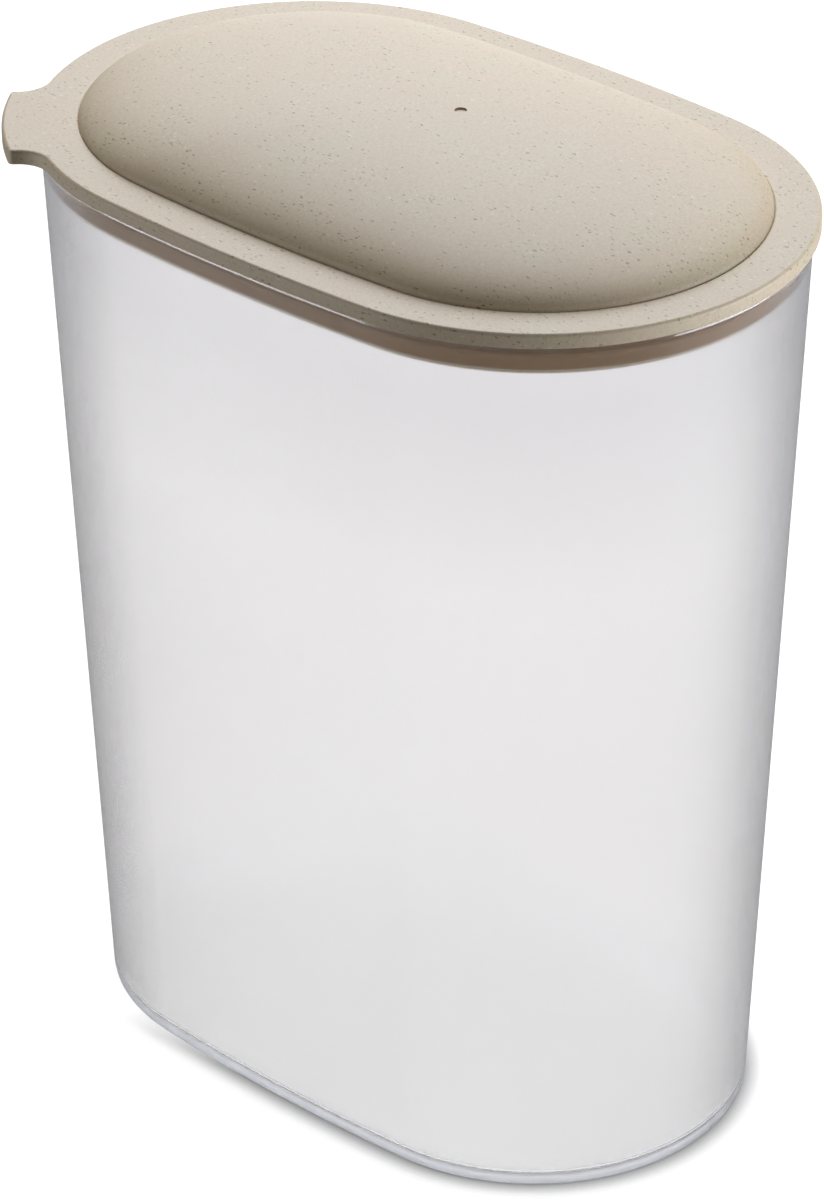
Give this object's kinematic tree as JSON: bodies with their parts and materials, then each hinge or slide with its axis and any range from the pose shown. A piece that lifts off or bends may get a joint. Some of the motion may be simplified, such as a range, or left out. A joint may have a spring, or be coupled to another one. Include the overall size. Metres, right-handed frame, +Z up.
{
  "type": "food storage jar",
  "caption": "Tall tapered oval food storage jar in frosted plastic, with a speckled domed lift-off lid that has a pull tab and a sealing ring.",
  "frame": {"origin": "middle of the foot, on the surface that the jar stands on", "axes": "+Z up, X along the oval's long way, the pull tab towards -X and -Y"},
  "size_m": [0.2028, 0.133, 0.2515],
  "materials": {
    "frosted_plastic": "frosted, see-through, polished at the rim",
    "speckled_plastic": "matte sand colour with fine dark fibres",
    "soft_seal": "soft, satin"
  },
  "bodies": {
    "container_body": {"container": "frosted_plastic"},
    "lid_body": {"lid": "speckled_plastic", "sealing_ring": "soft_seal"}
  },
  "joints": [
    {"name": "lid_lift", "type": "slide", "parent": "container_body", "child": "lid_body", "axis": [0, 0, 1], "range_m": [0, 0.2]}
  ]
}
